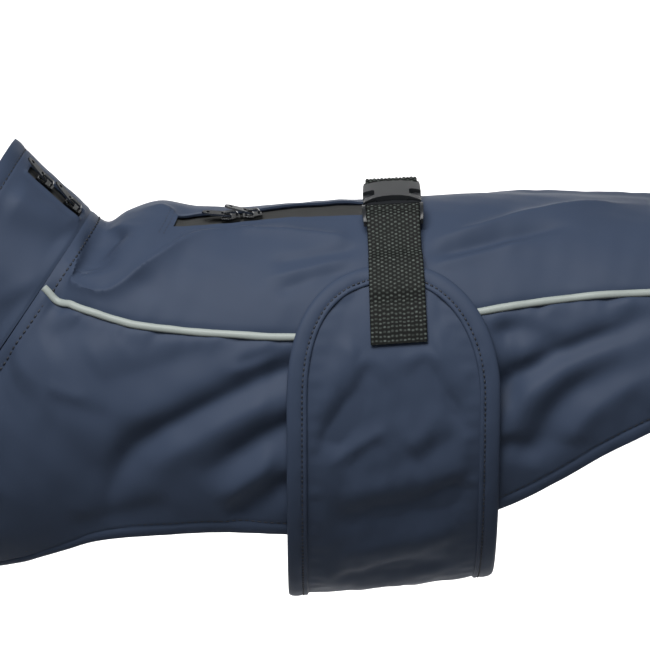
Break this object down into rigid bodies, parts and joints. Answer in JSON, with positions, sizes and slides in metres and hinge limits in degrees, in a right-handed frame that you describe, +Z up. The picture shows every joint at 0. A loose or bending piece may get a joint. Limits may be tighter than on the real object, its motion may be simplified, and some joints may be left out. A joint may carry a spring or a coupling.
{
  "type": "dog raincoat",
  "caption": "Close-fitting dog raincoat with a standing collar, piped side seams, zips at the neck and back, and a belly flap held by a buckled webbing belt.",
  "frame": {"origin": "on the inside of the back, at its middle under the belt, where the coat hangs from the back that carries it", "axes": "-X towards the collar, +X towards the tail, -Y the coat's left side, +Z up"},
  "size_m": [0.575, 0.1818, 0.261],
  "materials": {
    "shell_cloth": "dark blue coated polyester with a low sheen",
    "reflective_piping": "silver grey reflective film over a cord",
    "webbing": "near-black woven polyester webbing",
    "buckle_plastic": "black acetal with a satin surface",
    "zip_tape": "warm grey woven tape with coil teeth",
    "zip_metal": "dark nickel plated zinc"
  },
  "bodies": {
    "coat": {"back_panel": "shell_cloth", "left_side": "shell_cloth", "right_side": "shell_cloth", "collar": "shell_cloth", "belly_flap": "shell_cloth", "flap_facing": "shell_cloth", "left_piping": "reflective_piping", "right_piping": "reflective_piping", "near_strap": "webbing", "far_strap": "webbing", "buckle_socket": "buckle_plastic", "buckle_plug": "buckle_plastic", "leash_zip_tape": "zip_tape", "collar_zip_tape": "zip_tape", "leash_zip_front_slider": "zip_metal", "leash_zip_rear_slider": "zip_metal", "collar_zip_low_slider": "zip_metal", "collar_zip_high_slider": "zip_metal"},
    "leash_front_tab": {"leash_zip_front_pull": "zip_metal"},
    "leash_rear_tab": {"leash_zip_rear_pull": "zip_metal"},
    "collar_low_tab": {"collar_zip_low_pull": "zip_metal"},
    "collar_high_tab": {"collar_zip_high_pull": "zip_metal"}
  },
  "joints": [
    {"name": "leash_front_tab_swing", "type": "hinge", "parent": "coat", "child": "leash_front_tab", "pos_m": [-0.09088, -0.0179, -0.00414], "axis": [-0.1373, 0.9566, 0.257], "range_deg": [0, 30]},
    {"name": "leash_rear_tab_swing", "type": "hinge", "parent": "coat", "child": "leash_rear_tab", "pos_m": [-0.07877, -0.01638, -0.00329], "axis": [-0.1058, 0.9693, 0.222], "range_deg": [0, 145]},
    {"name": "collar_low_tab_swing", "type": "hinge", "parent": "coat", "child": "collar_low_tab", "pos_m": [-0.17719, -0.01587, 0.00131], "axis": [0.209, 0.9585, 0.1939], "range_deg": [0, 140]},
    {"name": "collar_high_tab_swing", "type": "hinge", "parent": "coat", "child": "collar_high_tab", "pos_m": [-0.19217, -0.01532, 0.01471], "axis": [0.209, 0.9585, 0.1939], "range_deg": [0, 120]}
  ]
}
